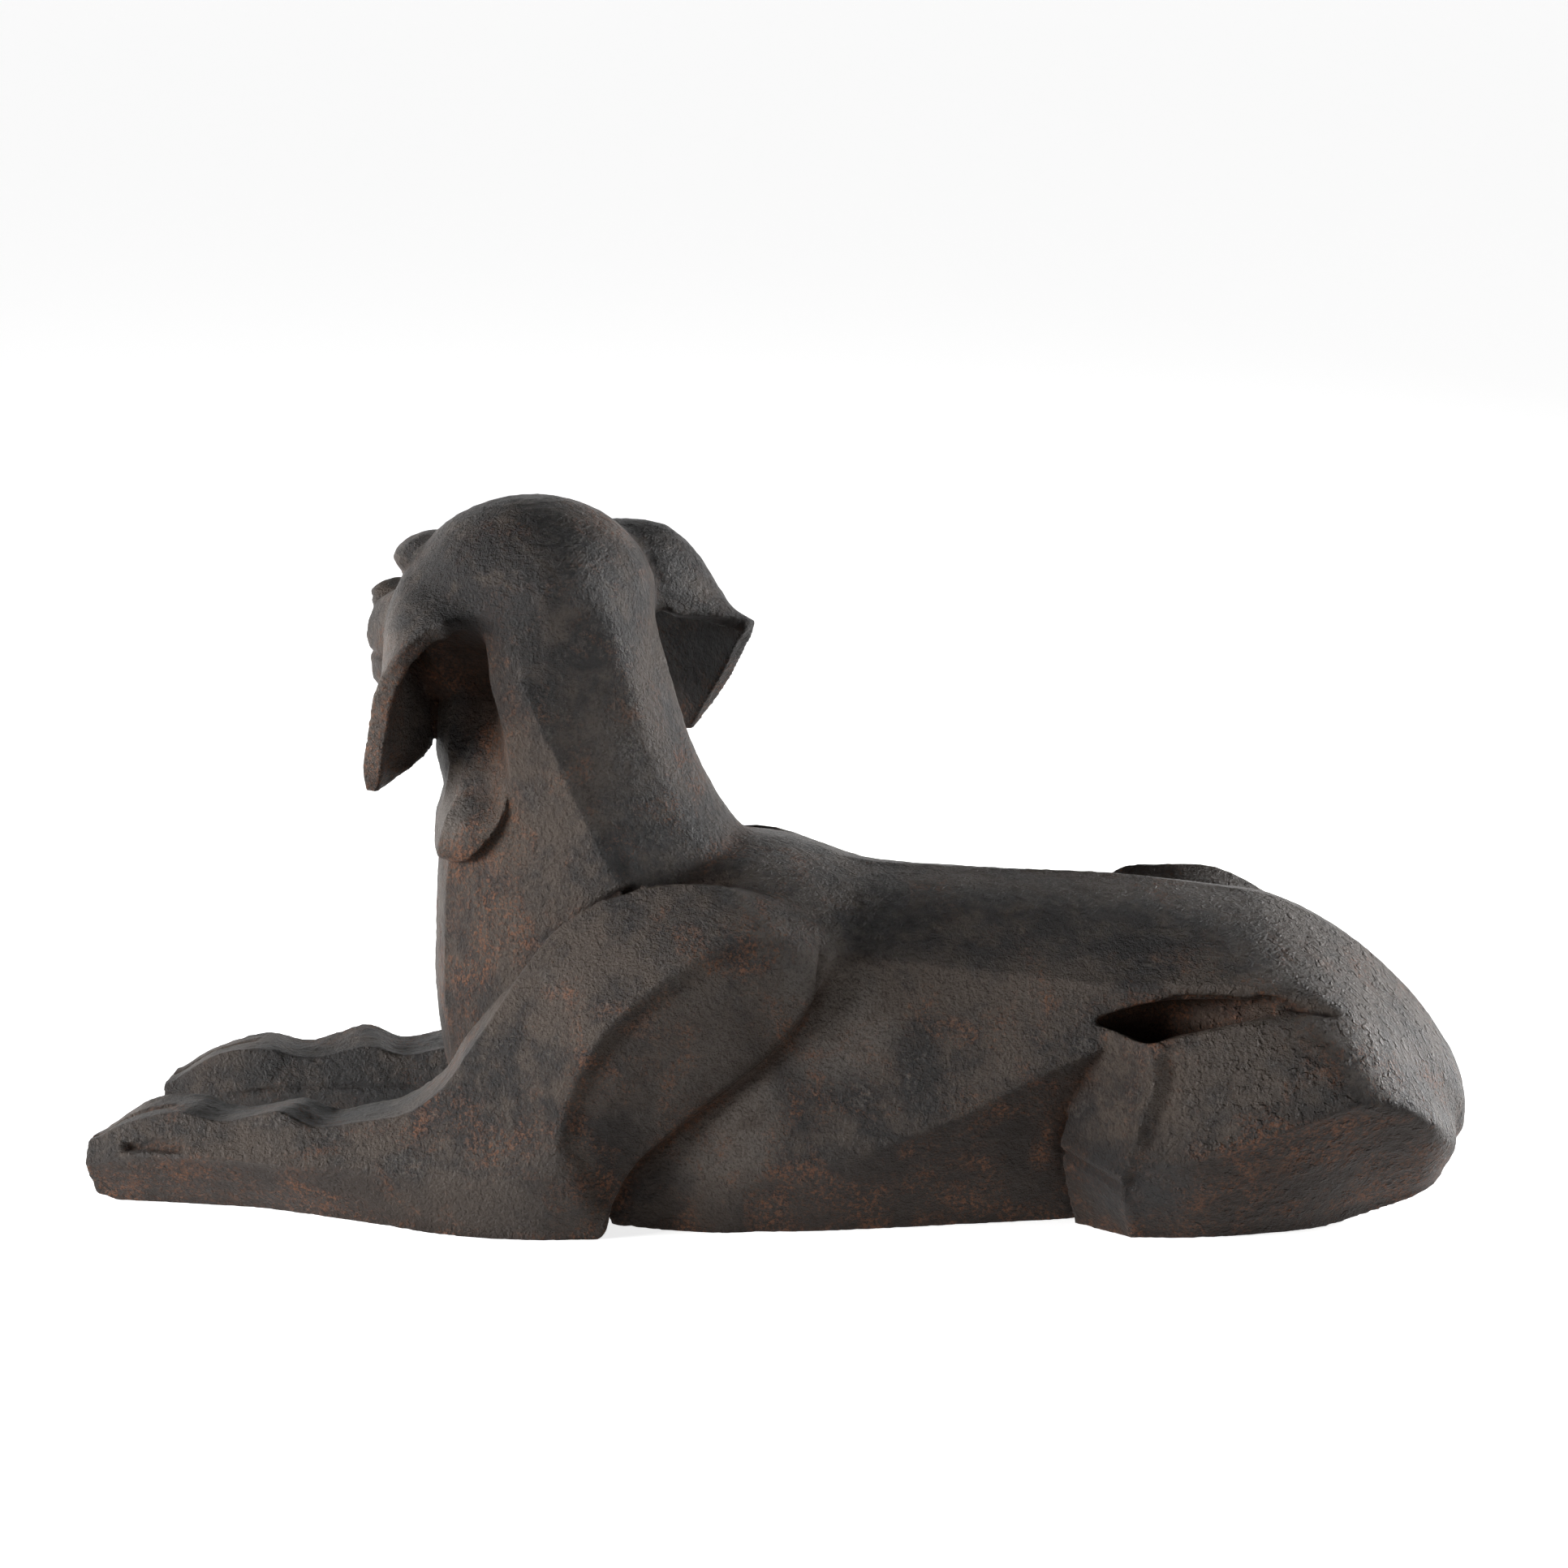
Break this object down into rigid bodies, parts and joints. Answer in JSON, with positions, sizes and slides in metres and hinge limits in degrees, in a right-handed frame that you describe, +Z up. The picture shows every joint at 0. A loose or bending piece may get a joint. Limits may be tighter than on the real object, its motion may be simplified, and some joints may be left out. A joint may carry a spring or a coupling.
{
  "type": "reclining hound sculpture",
  "caption": "Stylised hound lying on the ground with its forelegs stretched out and its head turned to its right, one dark cast piece.",
  "frame": {"origin": "on the flat underside of the belly, on the body's middle line, halfway between forefeet and rump", "axes": "-X towards the forefeet, -Y towards the hound's left side, +Z up"},
  "size_m": [0.7996, 0.294, 0.4053],
  "materials": {
    "cast_metal": "dull dark patina with rusty specks"
  },
  "bodies": {
    "root": {"Hound": "cast_metal"}
  },
  "joints": []
}
